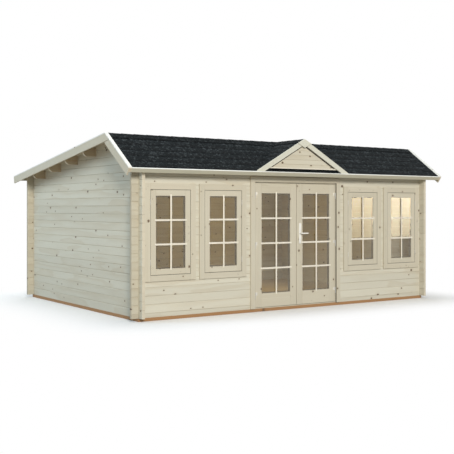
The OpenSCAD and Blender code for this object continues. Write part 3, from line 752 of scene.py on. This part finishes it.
class RoofTrim(bpy.types.Operator):
    """Make the verge boards, cap strips, fascias and dormer boards"""

    bl_idname = "shed.roof_trim"
    bl_label = "Roof trim"

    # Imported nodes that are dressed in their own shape, and their woods
    NODES = {
        "left_verge_strips": "spruce strips", "right_verge_strips": "spruce strips",
        "verge_battens": "spruce trim", "front_fascia": "spruce fascias", "back_fascia": "spruce fascias",
        "dormer_boards": "spruce dormer boards", "dormer_plate": "spruce dormer boards",
    }

    def execute(self, context):
        s = context.scene.shed_sizes
        for side in SIDES:
            self.verge(context, side + "_verge_boards")
        for node, kind in self.NODES.items():
            timber = Timber(s.plate_edge if node == "dormer_plate" else s.eased_edge)
            timber.solids(node)
            timber.build("planed_" + node, wood(context, kind), "trim_wood", "shed", node)
        self.eave_strips(context)
        self.infill_trim(context)
        return {"FINISHED"}

    def verge(self, context, node):
        """The back slope's board runs through at the ridge, and the front one stops short below it."""
        s = context.scene.shed_sizes
        low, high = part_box(node)
        under = -s.verge_board
        short = under - s.verge_gap
        timber = Timber(s.eased_edge)
        back = [BACK.at(0, under), crossing(0, under), crossing(0, 0), BACK.at(0, 0)]
        front = [FRONT.at(0, under), crossing(under, short), crossing(0, short), FRONT.at(0, 0)]
        for outline, slope in ((back, BACK), (front, FRONT)):
            timber.prism(outline, low.x, high.x, slope.direction(), X)
        timber.build("planed_" + node, wood(context, "spruce trim"), "trim_wood", "shed", node)

    def eave_strips(self, context):
        # Pale strips on top of the fascias: a painted highlight on their lit top edges
        s = context.scene.shed_sizes
        width, rise = s.strip_width, s.strip_rise
        timber = Timber(rise / 3)
        for name, slope in SLOPES.items():
            low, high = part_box(name + "_fascia")
            outline = [slope.at(*p) for p in ((0.0, 0.0), (width, 0.0), (width, rise), (0.0, rise))]
            timber.prism(outline, low.x, high.x, X, slope.direction())
        timber.build("eave_strips", wood(context, "spruce strips"), "trim_wood", "shed")

    def infill_trim(self, context):
        """A pale sill along the foot of the infill, a painted highlight, and dark seals of painted shade
        along the lower edges of the dormer's boards.
        """
        s = context.scene.shed_sizes
        low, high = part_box("dormer_infill")
        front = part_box("dormer_boards")[1].y + REST
        inset = 2 * s.sill_height
        # The sill is a pale strip along the infill's lower edge: a painted highlight
        sill = Timber(s.eased_edge)
        sill.board((low.x + inset, front, low.z), (high.x - inset, low.y, low.z + s.sill_height), X)
        sill.build("infill_sill", wood(context, "spruce bars"), "trim_wood", "shed")
        # Dark seals along the lower edges of the dormer's boards: painted shade
        depth = Y * s.infill_seal / 5
        seal = Timber(s.infill_seal / 20)
        for sign in SIDES.values():
            foot, peak = Vector((sign * high.x, low.y, low.z)), Vector((0, low.y, high.z))
            run = (peak - foot).normalized()
            down = Y.cross(run) * -sign
            edge = down * s.infill_seal_drop - depth
            start, end = foot + run * s.infill_seal_foot + edge, peak - run * s.infill_seal_head + edge
            seal.bar(start, end, down * s.infill_seal, depth)
        seal.build("infill_seals", rubber(context), "felt", "shed")


class Shingles(bpy.types.Operator):
    """Lay courses of shingles on the felt, with caps along the ridges"""

    bl_idname = "shed.shingles"
    bl_label = "Shingles"

    SEED = 11
    # Feet of the first courses, up from the eaves
    FOOT, DORMER_FOOT = 0.03, -0.08
    # Distance of the dormer's courses from the felt's front edge, and over the main slope
    DORMER_EDGE = 0.001
    # Tones that are added along a tab's lower and upper edges, and on caps; the darker lower edge and lighter
    # upper edge are painted shade below each course
    FOOT_TONE, HEAD_TONE, CAP_TONE = -0.55, 0.1, -0.4
    # Height of a cap's fold, as a share of its height over the slopes
    FOLD = 1.2

    def execute(self, context):
        self.sizes, self.grey = context.scene.shed_sizes, felt(context)
        self.chance = random.Random(self.SEED)
        paint_nodes(self.grey, "felt_front", "felt_back", "dormer_felt")
        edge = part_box("right_verge_strips")[0].x - self.sizes.shingle_edge
        dormer_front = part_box("dormer_felt")[0].y + self.DORMER_EDGE
        for name, slope in SLOPES.items():
            self.begin()
            self.lay(slope.place, (-edge, edge), (self.FOOT, slope.length))
            self.end("shingles_" + name)
        self.dormer((dormer_front, RIDGE.x))
        self.caps((-edge, edge), (dormer_front, RIDGE.x))
        return {"FINISHED"}

    def begin(self):
        self.bm = bmesh.new()
        self.tones = self.bm.verts.layers.float.new("tone")

    def end(self, name):
        bmesh.ops.recalc_face_normals(self.bm, faces=self.bm.faces)
        place_piece(mesh_of(self.bm, name), self.grey, "felt", "shed")

    def tab(self, tone, corners):
        """One tab from four lower and four upper corners, each ring running along, up, back."""
        made = [self.bm.verts.new(p) for p in corners]
        for i, v in enumerate(made):
            # Painted shade: each tab runs from dark along its lower edge to lighter along its upper edge
            v[self.tones] = tone + (self.FOOT_TONE if i < 4 else self.HEAD_TONE)
        for ring in ((0, 1, 2, 3), (7, 6, 5, 4), (0, 4, 5, 1), (1, 5, 6, 2), (2, 6, 7, 3), (3, 7, 4, 0)):
            self.bm.faces.new([made[i] for i in ring])

    def lay(self, place, across, ups):
        """Courses of tabs between two edges, from the foot of a slope to its ridge."""
        s, chance = self.sizes, self.chance
        lift = s.shingle_lift
        for course in range(math.ceil((ups[1] - ups[0]) / s.shingle_course)):
            foot = ups[0] + course * s.shingle_course
            head = min(foot + s.shingle_course + s.shingle_lap, ups[1])
            x = across[0] - s.shingle_tab * (0.5 * (course % 2) + 0.1 * chance.random())
            while x < across[1]:
                x0 = max(x + s.shingle_slot / 2, across[0])
                x1 = min(x + s.shingle_tab - s.shingle_slot / 2, across[1])
                x += s.shingle_tab
                if x1 - x0 < s.shingle_least:
                    continue
                low = foot + chance.uniform(-0.002, 0.002)
                rise = s.shingle_rise * chance.uniform(0.85, 1.15)
                nose = low + s.shingle_nose
                self.tab(chance.uniform(-0.07, 0.07), [
                    place(side, up, out)
                    for under, over in (((low, lift), (nose, rise)), ((head, lift), (head, lift * 2)))
                    for side, (up, out) in ((x0, under), (x1, under), (x1, over), (x0, over))
                ])

    def dormer(self, across):
        """Courses on both dormer slopes, trimmed along the valleys."""
        run = Vector((DORMER_HALF, DORMER_RISE))
        up = run.normalized()
        self.begin()
        for side in SIDES.values():
            def place(along, rise, out, side=side):
                x = -DORMER_HALF + up.x * rise - up.y * out
                return Vector((-side * x, along, FRONT_EAVE.y + up.y * rise + up.x * out))

            self.lay(place, across, (self.DORMER_FOOT, run.length))
        bm = self.bm
        bmesh.ops.bisect_plane(
            bm, geom=bm.verts[:] + bm.edges[:] + bm.faces[:], plane_co=FRONT.place(0, 0, self.DORMER_EDGE),
            plane_no=Vector((0, *FRONT.out)), clear_inner=True,
        )
        bmesh.ops.holes_fill(bm, edges=[e for e in bm.edges if e.is_boundary], sides=8)
        self.end("shingles_dormer")

    def caps(self, across, dormer_across):
        """Folded caps that lap along the main ridge and the dormer's ridge."""
        s = self.sizes
        reach, pitch = s.cap_reach, math.atan(DORMER_RISE / DORMER_HALF)

        def main_section(x, side, out):
            if side == 0:
                return Vector((x, RIDGE.x, RIDGE.y + out * self.FOLD))
            slope = FRONT if side < 0 else BACK
            return slope.place(x, slope.length - reach, out)

        def dormer_section(y, side, out):
            if side == 0:
                return Vector((0, y, RIDGE.y + out * self.FOLD))
            return Vector((
                side * (reach * math.cos(pitch) + out * math.sin(pitch)), y,
                RIDGE.y - reach * math.sin(pitch) + out * math.cos(pitch),
            ))

        self.begin()
        for (start, end), section in ((across, main_section), (dormer_across, dormer_section)):
            count = math.ceil((end - start) / s.cap_step)
            step = (end - start) / count
            for i in range(count):
                near = start + i * step
                self.cap(section, near, min(near + step + s.shingle_lap, end))
        self.end("ridge_caps")

    def cap(self, section, near, away):
        """A cap of two flaps, whose near end lies on the last one."""
        s, bm = self.sizes, self.bm
        tone = self.chance.uniform(-0.1, 0.05) + self.CAP_TONE
        rings = []
        for along, lift in ((near, s.cap_tilt), (away, 0.0)):
            outs = (s.cap_rise + lift, s.cap_rise * 2 + lift)
            rings.append([bm.verts.new(section(along, side, out)) for side in (-1, 0, 1) for out in outs])
        p, q = rings
        for v in (*p, *q):
            v[self.tones] = tone
        for i, j in ((0, 2), (2, 4), (3, 1), (5, 3), (1, 0), (4, 5)):
            bm.faces.new((p[i], p[j], q[j], q[i]))
        for ring in rings:
            for flap in ((0, 1, 3, 2), (2, 3, 5, 4)):
                bm.faces.new([ring[i] for i in flap])


def grille(timber, left, right, foot, head, front, rows, s):
    """Glazing bars over an opening: one upright and level bars, lapping the members around it."""
    half, lap = s.bar_width / 2, s.bar_lap
    middle = (left + right) / 2
    proud = front - s.bar_proud
    timber.board((middle - half, proud, foot - lap), (middle + half, front, head + lap), Z)
    for i in range(1, rows):
        z = foot + (head - foot) * i / rows
        for x0, x1 in ((left - lap, middle - half), (middle + half, right + lap)):
            timber.board((x0, proud, z - half), (x1, front, z + half), X)


def pane_seals(timber, left, right, foot, head, front, back, width):
    """Seals that hold a pane, against the inner edges of its members, dark to paint the shade at the pane's
    edges.
    """
    for low, high, along in (
        ((left, front, foot), (left + width, back, head), Z),
        ((right - width, front, foot), (right, back, head), Z),
        ((left + width, front, foot), (right - width, back, foot + width), X),
        ((left + width, front, head - width), (right - width, back, head), X),
    ):
        timber.board(low, high, along)


def joined_frame(timber, low, high, front, back, sides, top=None, foot=None):
    """Two uprights with a top and a foot member between them, as wide as the uprights or as given."""
    (x0, z0), (x1, z1) = low, high
    inner0, inner1 = x0 + sides + HAIR, x1 - sides - HAIR
    timber.board((x0, front, z0), (x0 + sides, back, z1), Z)
    timber.board((x1 - sides, front, z0), (x1, back, z1), Z)
    timber.board((inner0, front, z1 - (top or sides)), (inner1, back, z1), X)
    timber.board((inner0, front, z0), (inner1, back, z0 + (foot or sides)), X)


class Windows(bpy.types.Operator):
    """Make the window boards, frames, sashes and glazing bars"""

    bl_idname = "shed.windows"
    bl_label = "Windows"

    # Front and back of a sash's seal, behind the sash's face; the seal is a dark strip of painted shade in
    # the gap around the sash
    SEAL_FRONT, SEAL_BACK = 0.002, 0.012

    def execute(self, context):
        half = context.scene.shed_sizes.sash_width / 2
        for side in SIDES:
            low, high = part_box(side + "_window_sashes")
            spans = [(x - half, x + half) for x in (low.x + half, high.x - half)]
            self.frames(context, side, low, high, spans)
            self.sashes(context, side, low, high, spans)
            paint_nodes(glass(context), side + "_window_glass")
        return {"FINISHED"}

    def frames(self, context, side, low, high, spans):
        s = context.scene.shed_sizes
        front, back = (corner.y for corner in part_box("front_wall_left"))
        outer_low, outer_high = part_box(side + "_window_frames")
        casing, inner = s.window_casing, s.window_frame
        timber = Timber(s.eased_edge)
        for left, right in spans:
            for reach, foot, head, near, away in (
                (casing, outer_low.z, outer_high.z, outer_low.y, front),
                (inner, low.z - inner, high.z + inner, front, back),
            ):
                joined_frame(timber, (left - reach, foot), (right + reach, head), near, away, reach - REST)
        node = side + "_window_frames"
        timber.build(side + "_window_boards", wood(context, "spruce trim"), "trim_wood", "shed", node)

    def sashes(self, context, side, low, high, spans):
        s = context.scene.shed_sizes
        gap, member = s.sash_gap, s.sash_bar
        pane_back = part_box(side + "_window_glass")[1].y
        sash, bars = Timber(s.eased_edge * 1.4), Timber(s.eased_edge)
        seal, pane_seal = Timber(gap / 6), Timber(gap / 6)
        for left, right in spans:
            for timber, inset, width, front, back in (
                (sash, gap, member - gap, low.y, high.y),
                (seal, HAIR, gap - 2 * HAIR, low.y + self.SEAL_FRONT, low.y + self.SEAL_BACK),
            ):
                corners = (left + inset, low.z + inset), (right - inset, high.z - inset)
                joined_frame(timber, *corners, front, back, width)
            opening = (left + member, right - member, low.z + member, high.z - member)
            # Dark seals at the edges of the panes: painted shade
            pane_seals(pane_seal, *opening, pane_back, high.y - s.pane_seal_set, s.pane_seal)
            grille(bars, *opening, low.y, s.window_rows, s)
        node = side + "_window_sashes"
        sash.build(side + "_sash_members", wood(context, "spruce trim"), "trim_wood", "shed", node)
        bars.build(side + "_window_bars", wood(context, "spruce bars"), "trim_wood", "shed")
        # Dark seals in the gaps around the sashes: painted shade
        seal.build(side + "_sash_seals", rubber(context), "felt", "shed")
        pane_seal.build(side + "_pane_seals", rubber(context, "pane_seal"), "felt", "shed")


class Door(bpy.types.Operator):
    """Make the door frame, its boards, both leaves and their glazing bars"""

    bl_idname = "shed.door"
    bl_label = "Door"

    JAMB, SILL, THRESHOLD = 0.045, 0.011, 0.019
    STOP, STOP_DEPTH = 0.014, 0.012
    # Distance of a casing seal behind the boards' face; the seal is a dark lining of painted shade in the gap
    # beside the leaves
    SEAL_SET = 0.003

    def execute(self, context):
        self.casing(context)
        self.frame(context)
        for side in SIDES:
            self.leaf(context, side)
            paint_nodes(glass(context), side + "_leaf_glass")
        return {"FINISHED"}

    def upright(self, timber, side, across, depths, heights):
        x0, x1 = sorted(side * x for x in across)
        timber.board((x0, depths[0], heights[0]), (x1, depths[1], heights[1]), Z)

    def casing(self, context):
        s = context.scene.shed_sizes
        low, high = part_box("door_casing")
        inner, head = high.x - s.door_casing, high.z - s.door_casing
        heights = (low.z, head - HAIR)
        boards, seal = Timber(s.eased_edge), Timber(s.casing_seal / 4)
        for side in SIDES.values():
            self.upright(boards, side, (inner, high.x), (low.y, high.y), heights)
        boards.board((low.x, low.y, head), (high.x, high.y, high.z), X)
        boards.build("door_boards", wood(context, "spruce trim"), "trim_wood", "shed", "door_casing")
        # Dark linings on the boards' inner sides: painted shade in the gap beside the leaves
        for side in SIDES.values():
            self.upright(seal, side, (inner, inner - s.casing_seal), (low.y + self.SEAL_SET, high.y), heights)
        seal.build("casing_seals", rubber(context), "felt", "shed")

    def frame(self, context):
        wall_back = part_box("front_wall_left")[1].y
        low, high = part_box("door_frame")
        inner, head, foot = high.x - self.JAMB, high.z - self.JAMB, low.z + self.THRESHOLD
        stop_x, stop_y, stop_z = inner - self.STOP, high.y - self.STOP_DEPTH, head - self.STOP
        timber = Timber(context.scene.shed_sizes.eased_edge)
        for side in SIDES.values():
            for across, depths, heights in (
                ((inner, high.x), (low.y, high.y), (foot, head - HAIR)),
                ((inner, high.x), (low.y, wall_back), (low.z, foot - HAIR)),
                ((stop_x, inner), (stop_y, high.y), (foot, stop_z - HAIR)),
            ):
                self.upright(timber, side, across, depths, heights)
        timber.board((low.x, low.y, head), (high.x, high.y, high.z), X)
        timber.board((-inner, stop_y, stop_z), (inner, high.y, head), X)
        timber.board((-inner + HAIR, low.y, low.z), (inner - HAIR, wall_back, low.z + self.SILL), X)
        timber.build("door_frame_boards", wood(context, "spruce trim"), "trim_wood", "shed", "door_frame")

    def leaf(self, context, side):
        s = context.scene.shed_sizes
        body = side + "_door"
        low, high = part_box(side + "_leaf")
        pane_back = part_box(side + "_leaf_glass")[1].y
        stile, top, foot = s.leaf_stile, s.leaf_top, s.leaf_foot
        members, seal, bars = Timber(s.eased_edge * 1.4), Timber(s.sash_gap / 6), Timber(s.eased_edge)
        joined_frame(members, (low.x, low.z), (high.x, high.z), low.y, high.y, stile, top, foot)
        members.build(side + "_leaf_members", wood(context, "spruce trim"), "trim_wood", body, side + "_leaf")
        opening = (low.x + stile, high.x - stile, low.z + foot, high.z - top)
        # Dark seals at the edges of the panes: painted shade
        pane_seals(seal, *opening, pane_back, high.y - s.pane_seal_set, s.pane_seal)
        seal.build(side + "_leaf_seals", rubber(context, "pane_seal"), "felt", body)
        grille(bars, *opening, low.y, s.door_rows, s)
        bars.build(side + "_leaf_bars", wood(context, "spruce bars"), "trim_wood", body)


class Hardware(bpy.types.Operator):
    """Finish the hinges and the handle, and add the window hinges and screws"""

    bl_idname = "shed.hardware"
    bl_label = "Hinges and handle"

    # Sides of a turned solid
    SEGMENTS = 16
    # Half of a window hinge's barrel as (radius, height), its neck, and its distances on the sash
    BARREL = ((0.0055, 0.001), (0.0055, 0.033), (0.003, 0.034), (0.0045, 0.037), (0.003, 0.041))
    NECK = (0.0048, 0.0)
    BARREL_INSET, BARREL_PROUD = 0.17, 0.003
    # Screws on a hinge wing, as (distance from its end, share of its height), and on the handle plates
    WING_SCREWS = ((0.009, 0.25), (0.009, 0.75), (0.024, 0.5))
    WING_PROUD, PLATE_INSET = 0.0025, 0.016

    def execute(self, context):
        s = context.scene.shed_sizes
        metal, white = zinc(context), white_coat(context)
        for side in SIDES:
            paint_nodes(metal, "frame_hinges_" + side, "leaf_hinges_" + side)
        for node, body, ease in (("handle_plates", "right_door", 0.002), ("door_lever", "lever", 0.004)):
            self.rounded(node, ease, white, body)
        self.window_hinges(metal)
        self.screws(s, metal)
        return {"FINISHED"}

    def rounded(self, node, ease, material, body):
        """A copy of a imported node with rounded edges, in its place."""
        bm = packed_mesh(node)
        ease_edges(bm, 0.9, ease, 3)
        for f in bm.faces:
            f.smooth = True
        place_piece(mesh_of(bm, "coated_" + node), material, "handle_metal", body, node)

    def turned(self, bm, centre, axis, profile):
        """A turned solid around an axis, from (radius, height) rings."""
        side = X if axis == Z else Z
        other = axis.cross(side)
        angles = [math.tau * i / self.SEGMENTS for i in range(self.SEGMENTS)]
        rings = [
            [bm.verts.new(centre + axis * h + (side * math.cos(a) + other * math.sin(a)) * r) for a in angles]
            for r, h in profile
        ]
        for low, high in zip(rings, rings[1:]):
            for i in range(self.SEGMENTS):
                j = (i + 1) % self.SEGMENTS
                bm.faces.new((low[i], low[j], high[j], high[i])).smooth = True
        bm.faces.new(rings[0][::-1])
        bm.faces.new(rings[-1])

    def window_hinges(self, metal):
        """Turned hinge barrels on the outer edge of each sash."""
        profile = [(r, -h) for r, h in self.BARREL[::-1]] + [self.NECK, *self.BARREL]
        bm = bmesh.new()
        for side in SIDES:
            low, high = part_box(side + "_window_sashes")
            for x in (low.x, high.x):
                for z in (low.z + self.BARREL_INSET, high.z - self.BARREL_INSET):
                    self.turned(bm, Vector((x, low.y - self.BARREL_PROUD, z)), Z, profile)
        place_piece(mesh_of(bm, "window_hinge_barrels"), metal, "steel", "shed")

    def screws(self, s, metal):
        """Domed screw heads on the leaves' hinge wings and the handle plates."""
        r = s.screw_radius
        profile = ((r, -0.0004), (r, 0.0004), (r * 0.8, 0.0012), (r * 0.4, 0.0017))
        for side, sign in SIDES.items():
            bm = bmesh.new()
            low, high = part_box("leaf_hinges_" + side)
            inner = high.x if sign < 0 else low.x
            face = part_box(side + "_leaf")[0].y - self.WING_PROUD
            for i in range(3):
                z = low.z + i * (high.z - low.z - s.wing_height) / 2
                for across, up in self.WING_SCREWS:
                    centre = Vector((inner + sign * across, face, z + up * s.wing_height))
                    self.turned(bm, centre, -Y, profile)
            if side == "right":
                low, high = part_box("handle_plates")
                for z in (low.z + self.PLATE_INSET, high.z - self.PLATE_INSET):
                    for y, axis in ((low.y, -Y), (high.y, Y)):
                        self.turned(bm, Vector(((low.x + high.x) / 2, y, z)), axis, profile)
            place_piece(mesh_of(bm, side + "_door_screws"), metal, "steel", side + "_door")


class Stage(bpy.types.Operator):
    """Set up the floor, the soft lights and the camera"""

    bl_idname = "shed.stage"
    bl_label = "Stage"

    # Area lamps: place, size, power and colour
    LAMPS = {
        "key": ((-13.0, -30.0, 13.5), 8.0, 8400.0, (1.0, 0.98, 0.97)),
        "fill": ((-13.0, 4.0, 7.0), 7.0, 560.0, (0.55, 0.77, 1.0)),
        "top": ((0.0, 1.0, 12.0), 9.0, 620.0, (0.90, 0.96, 1.0)),
        "back": ((10.0, 17.0, 9.0), 8.0, 900.0, (1.0, 0.98, 0.95)),
    }
    LAMP_TARGET = Vector((0, 0, 1.2))

    def execute(self, context):
        context.scene.view_settings.view_transform = "Standard"
        self.world(context)
        self.floor(context)
        self.lamps(context)
        self.reflector(context)
        self.camera(context)
        return {"FINISHED"}

    def put(self, context, name, data, hidden=()):
        """Links an object that some kinds of rays don't see."""
        made = bpy.data.objects.new(name, data)
        for ray in hidden:
            setattr(made, "visible_" + ray, False)
        context.scene.collection.objects.link(made)
        return made

    def seen(self, g):
        """1 for what the camera, a mirror or a pane shows, and 0 for what lights the shed."""
        path = g.add("ShaderNodeLightPath").outputs
        bare = g.math("MAXIMUM", path["Is Camera Ray"], path["Is Glossy Ray"])
        return g.math("MAXIMUM", bare, path["Is Transmission Ray"])

    def world(self, context):
        world = bpy.data.worlds.new("studio")
        world.use_nodes = True
        context.scene.world = world
        g = Graph(world.node_tree)
        seen = self.seen(g)
        g.feed_all(world.node_tree.nodes["Background"].inputs, {
            "Color": g.mix(seen, (0.80, 0.91, 1.0, 1.0), WHITE),
            "Strength": g.math("MULTIPLY_ADD", seen, 0.56, 0.44),
        })

    def floor(self, context):
        def fill(g):
            # Seen as white, and grey to the light that it sends back up
            g.shade({
                "Base Color": g.mix(self.seen(g), (0.39, 0.36, 0.32, 1.0), (0.95, 0.92, 0.88, 1.0)),
                "Roughness": 0.9, "Specular IOR Level": 0.0,
            })
            # The shadow close to the walls stays, and further out the floor runs into the white around it
            past = g.vector("SUBTRACT", g.vector("ABSOLUTE", g.place()), (2.7, 1.95, 1.0))
            beyond = g.vector("MAXIMUM", past, (0, 0, 0))
            reach = g.add("ShaderNodeVectorMath", {0: beyond}, operation="LENGTH").outputs["Value"]
            fade = g.math("MULTIPLY", g.ramp(reach, 0.0, 1.3, smooth=True), self.seen(g))
            shaded = g.tree.nodes["Principled BSDF"].outputs[0]
            white = g.add("ShaderNodeEmission", {"Color": WHITE, "Strength": 1.0}).outputs[0]
            g.show(g.add("ShaderNodeMixShader", {0: fade, 1: shaded, 2: white}).outputs[0])

        bm = bmesh.new()
        bmesh.ops.create_circle(bm, cap_ends=True, segments=64, radius=60.0)
        disc = self.put(context, "floor", mesh_of(bm, "floor"))
        disc.data.materials.append(finish("pale floor", fill))
        disc.location.z = -REST

    def lamps(self, context):
        hidden = ("camera", "glossy", "transmission")
        for name, (place, size, power, colour) in self.LAMPS.items():
            light = bpy.data.lights.new(name, "AREA")
            light.shape, light.size, light.energy, light.color = "DISK", size, power, colour
            lamp = self.put(context, name, light, hidden)
            lamp.location = place
            lamp.rotation_euler = (self.LAMP_TARGET - Vector(place)).to_track_quat("-Z", "Y").to_euler()
        light = bpy.data.lights.new("room", "POINT")
        light.shadow_soft_size, light.energy, light.color = 0.5, 19.0, (1.0, 0.68, 0.16)
        self.put(context, "room", light, hidden).location = (0.7, 0.2, 1.3)

    def reflector(self, context):
        """A warm card to the front right that shows only as a reflection in the panes."""
        def fill(g):
            axes = g.axes(g.place())
            rise, run = g.ramp(axes["Z"], 0.2, 2.0, 7.0, 15.0), g.ramp(axes["X"], 18.0, 22.0, 0.95, 1.35)
            glow = {"Color": (1.0, 0.86, 0.6, 1.0), "Strength": g.math("MULTIPLY", rise, run)}
            g.show(g.add("ShaderNodeEmission", glow).outputs[0])

        bm = bmesh.new()
        corners = ((17.0, 0.15), (22.6, 0.15), (22.6, 4.0), (17.0, 4.0))
        bm.faces.new([bm.verts.new((x, -20.0, z)) for x, z in corners])
        hidden = ("camera", "diffuse", "transmission", "shadow")
        card = self.put(context, "warm_card", mesh_of(bm, "warm_card"), hidden)
        card.data.materials.append(finish("warm card", fill))

    def camera(self, context):
        view = bpy.data.cameras.new("photo view")
        view.sensor_width, view.lens = 36.0, 66.53
        view.shift_x, view.shift_y = 0.00996, -0.0428
        camera = self.put(context, "photo view", view)
        camera.location = (-7.8876, -11.6543, 1.505)
        camera.rotation_euler = (math.radians(90.0), 0.0, math.radians(-33.864))
        context.scene.camera = camera


STEPS = (LogWalls, Base, RoofDeck, RoofTrim, Shingles, Windows, Door, Hardware, Stage)


class ShedPanel(bpy.types.Panel):
    """Lists the shed's sizes, colours and steps"""

    bl_idname = "VIEW3D_PT_shed"
    bl_label = "Shed"
    bl_space_type = "VIEW_3D"
    bl_region_type = "UI"
    bl_category = "Shed"

    def draw(self, context):
        for group in (context.scene.shed_sizes, context.scene.shed_colours):
            for name in group.__annotations__:
                self.layout.prop(group, name)
        for step in STEPS:
            self.layout.operator(step.bl_idname)


CLASSES = (ShedColours, ShedSizes, *STEPS, ShedPanel)


def register():
    for kind in CLASSES:
        bpy.utils.register_class(kind)
    bpy.types.Scene.shed_colours = PointerProperty(type=ShedColours)
    bpy.types.Scene.shed_sizes = PointerProperty(type=ShedSizes)


def unregister():
    del bpy.types.Scene.shed_sizes
    del bpy.types.Scene.shed_colours
    for kind in reversed(CLASSES):
        bpy.utils.unregister_class(kind)


def main():
    register()
    for step in STEPS:
        group, name = step.bl_idname.split(".")
        getattr(getattr(bpy.ops, group), name)()


if __name__ == "__main__":
    main()
